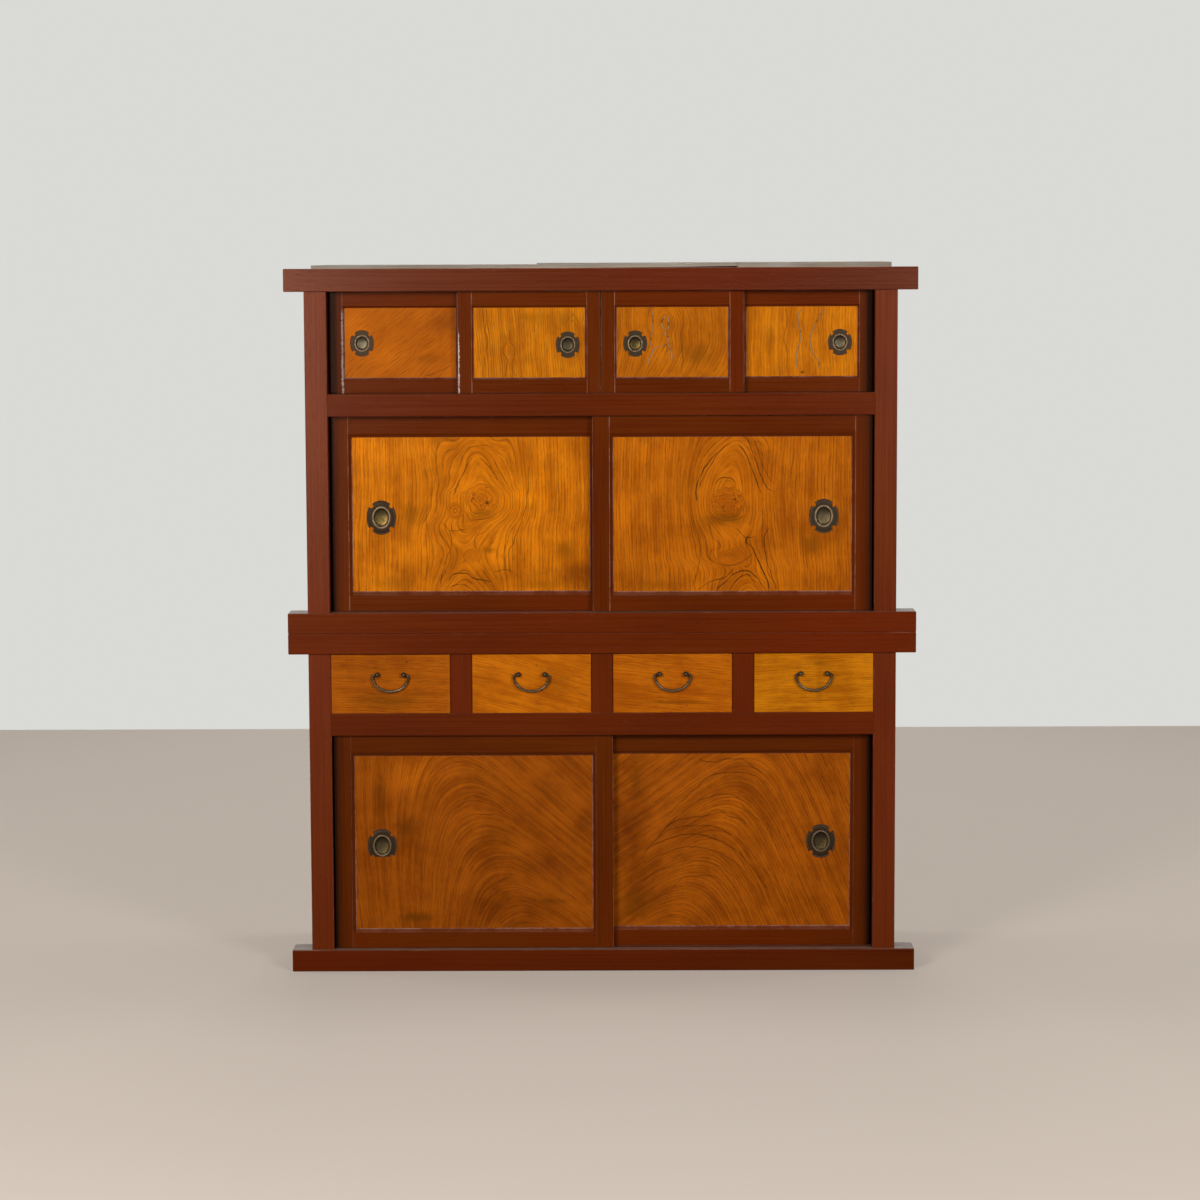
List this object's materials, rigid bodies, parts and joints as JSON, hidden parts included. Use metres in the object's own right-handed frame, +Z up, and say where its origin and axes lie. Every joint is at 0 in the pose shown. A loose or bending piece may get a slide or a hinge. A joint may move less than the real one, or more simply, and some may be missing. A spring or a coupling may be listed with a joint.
{
  "type": "mizuya kitchen cabinet",
  "caption": "Two-part kitchen cabinet with framed sliding doors in three rows, a row of drawers with bail pulls, lobed cup pulls and beams that run past the posts.",
  "frame": {"origin": "on the floor, under the middle of the cabinet's box", "axes": "+X to the right seen from the front, +Y to the back, +Z up; the front faces -Y"},
  "size_m": [1.552, 0.4864, 1.7585],
  "materials": {
    "frame_lacquer": "satin red-brown wiped lacquer over open grain, worn on the arrises",
    "panel_keyaki": "golden-orange satin lacquer over figured zelkova",
    "drawer_keyaki": "golden-orange satin lacquer over straight-grained zelkova",
    "side_board": "thin red-brown lacquer over cedar boards",
    "bare_cedar": "bare planed cedar, greyed with age",
    "pull_bronze": "dark patinated cast bronze, rubbed bright on the rims",
    "bail_iron": "bronze-brown forged wire, polished by hands"
  },
  "bodies": {
    "lower_chest": {"lower_posts": "frame_lacquer", "lower_base_beams": "frame_lacquer", "lower_top_beams": "frame_lacquer", "drawer_rails": "frame_lacquer", "drawer_dividers": "frame_lacquer", "drawer_deck": "bare_cedar", "lower_side_rails": "frame_lacquer", "lower_side_panels": "side_board", "lower_back_boards": "bare_cedar", "lower_shelf_boards": "bare_cedar", "lower_lid_boards": "bare_cedar"},
    "upper_chest": {"upper_posts": "frame_lacquer", "upper_bottom_beams": "frame_lacquer", "upper_top_beams": "frame_lacquer", "upper_middle_rails": "frame_lacquer", "upper_side_rails": "frame_lacquer", "upper_side_panels": "side_board", "upper_back_boards": "bare_cedar", "upper_shelf_boards": "bare_cedar", "roof_boards": "bare_cedar"},
    "small_door_1": {"small_door_1_frame": "frame_lacquer", "small_door_1_panel": "panel_keyaki", "small_door_1_pull": "pull_bronze"},
    "small_door_2": {"small_door_2_frame": "frame_lacquer", "small_door_2_panel": "panel_keyaki", "small_door_2_pull": "pull_bronze"},
    "small_door_3": {"small_door_3_frame": "frame_lacquer", "small_door_3_panel": "panel_keyaki", "small_door_3_pull": "pull_bronze"},
    "small_door_4": {"small_door_4_frame": "frame_lacquer", "small_door_4_panel": "panel_keyaki", "small_door_4_pull": "pull_bronze"},
    "tall_door_left": {"tall_door_left_frame": "frame_lacquer", "tall_door_left_panel": "panel_keyaki", "tall_door_left_pull": "pull_bronze"},
    "tall_door_right": {"tall_door_right_frame": "frame_lacquer", "tall_door_right_panel": "panel_keyaki", "tall_door_right_pull": "pull_bronze"},
    "low_door_left": {"low_door_left_frame": "frame_lacquer", "low_door_left_panel": "panel_keyaki", "low_door_left_pull": "pull_bronze"},
    "low_door_right": {"low_door_right_frame": "frame_lacquer", "low_door_right_panel": "panel_keyaki", "low_door_right_pull": "pull_bronze"},
    "drawer_1": {"drawer_1_front": "drawer_keyaki", "drawer_1_box": "bare_cedar", "drawer_1_studs": "bail_iron"},
    "bail_1": {"drawer_1_bail": "bail_iron"},
    "drawer_2": {"drawer_2_front": "drawer_keyaki", "drawer_2_box": "bare_cedar", "drawer_2_studs": "bail_iron"},
    "bail_2": {"drawer_2_bail": "bail_iron"},
    "drawer_3": {"drawer_3_front": "drawer_keyaki", "drawer_3_box": "bare_cedar", "drawer_3_studs": "bail_iron"},
    "bail_3": {"drawer_3_bail": "bail_iron"},
    "drawer_4": {"drawer_4_front": "drawer_keyaki", "drawer_4_box": "bare_cedar", "drawer_4_studs": "bail_iron"},
    "bail_4": {"drawer_4_bail": "bail_iron"}
  },
  "joints": [
    {"name": "upper_chest_lift", "type": "slide", "parent": "lower_chest", "child": "upper_chest", "axis": [0, 0, 1], "range_m": [0, 0.15]},
    {"name": "small_door_1_slide", "type": "slide", "parent": "upper_chest", "child": "small_door_1", "axis": [1, 0, 0], "range_m": [-0.002, 0.318]},
    {"name": "small_door_2_slide", "type": "slide", "parent": "upper_chest", "child": "small_door_2", "axis": [1, 0, 0], "range_m": [-0.318, 0]},
    {"name": "small_door_3_slide", "type": "slide", "parent": "upper_chest", "child": "small_door_3", "axis": [1, 0, 0], "range_m": [0, 0.318]},
    {"name": "small_door_4_slide", "type": "slide", "parent": "upper_chest", "child": "small_door_4", "axis": [1, 0, 0], "range_m": [-0.318, 0.002]},
    {"name": "tall_door_left_slide", "type": "slide", "parent": "upper_chest", "child": "tall_door_left", "axis": [1, 0, 0], "range_m": [-0.003, 0.645]},
    {"name": "tall_door_right_slide", "type": "slide", "parent": "upper_chest", "child": "tall_door_right", "axis": [1, 0, 0], "range_m": [-0.645, 0.003]},
    {"name": "low_door_left_slide", "type": "slide", "parent": "lower_chest", "child": "low_door_left", "axis": [1, 0, 0], "range_m": [-0.003, 0.641]},
    {"name": "low_door_right_slide", "type": "slide", "parent": "lower_chest", "child": "low_door_right", "axis": [1, 0, 0], "range_m": [-0.641, 0.003]},
    {"name": "drawer_1_slide", "type": "slide", "parent": "lower_chest", "child": "drawer_1", "axis": [0, -1, 0], "range_m": [0, 0.3]},
    {"name": "bail_1_swing", "type": "hinge", "parent": "drawer_1", "child": "bail_1", "pos_m": [-0.52387, -0.2368, 0.7465], "axis": [-1, 0, 0], "range_deg": [-5, 100]},
    {"name": "drawer_2_slide", "type": "slide", "parent": "lower_chest", "child": "drawer_2", "axis": [0, -1, 0], "range_m": [0, 0.3]},
    {"name": "bail_2_swing", "type": "hinge", "parent": "drawer_2", "child": "bail_2", "pos_m": [-0.17463, -0.2368, 0.7465], "axis": [-1, 0, 0], "range_deg": [-5, 100]},
    {"name": "drawer_3_slide", "type": "slide", "parent": "lower_chest", "child": "drawer_3", "axis": [0, -1, 0], "range_m": [0, 0.3]},
    {"name": "bail_3_swing", "type": "hinge", "parent": "drawer_3", "child": "bail_3", "pos_m": [0.17463, -0.2368, 0.7465], "axis": [-1, 0, 0], "range_deg": [-5, 100]},
    {"name": "drawer_4_slide", "type": "slide", "parent": "lower_chest", "child": "drawer_4", "axis": [0, -1, 0], "range_m": [0, 0.3]},
    {"name": "bail_4_swing", "type": "hinge", "parent": "drawer_4", "child": "bail_4", "pos_m": [0.52387, -0.2368, 0.7465], "axis": [-1, 0, 0], "range_deg": [-5, 100]}
  ]
}
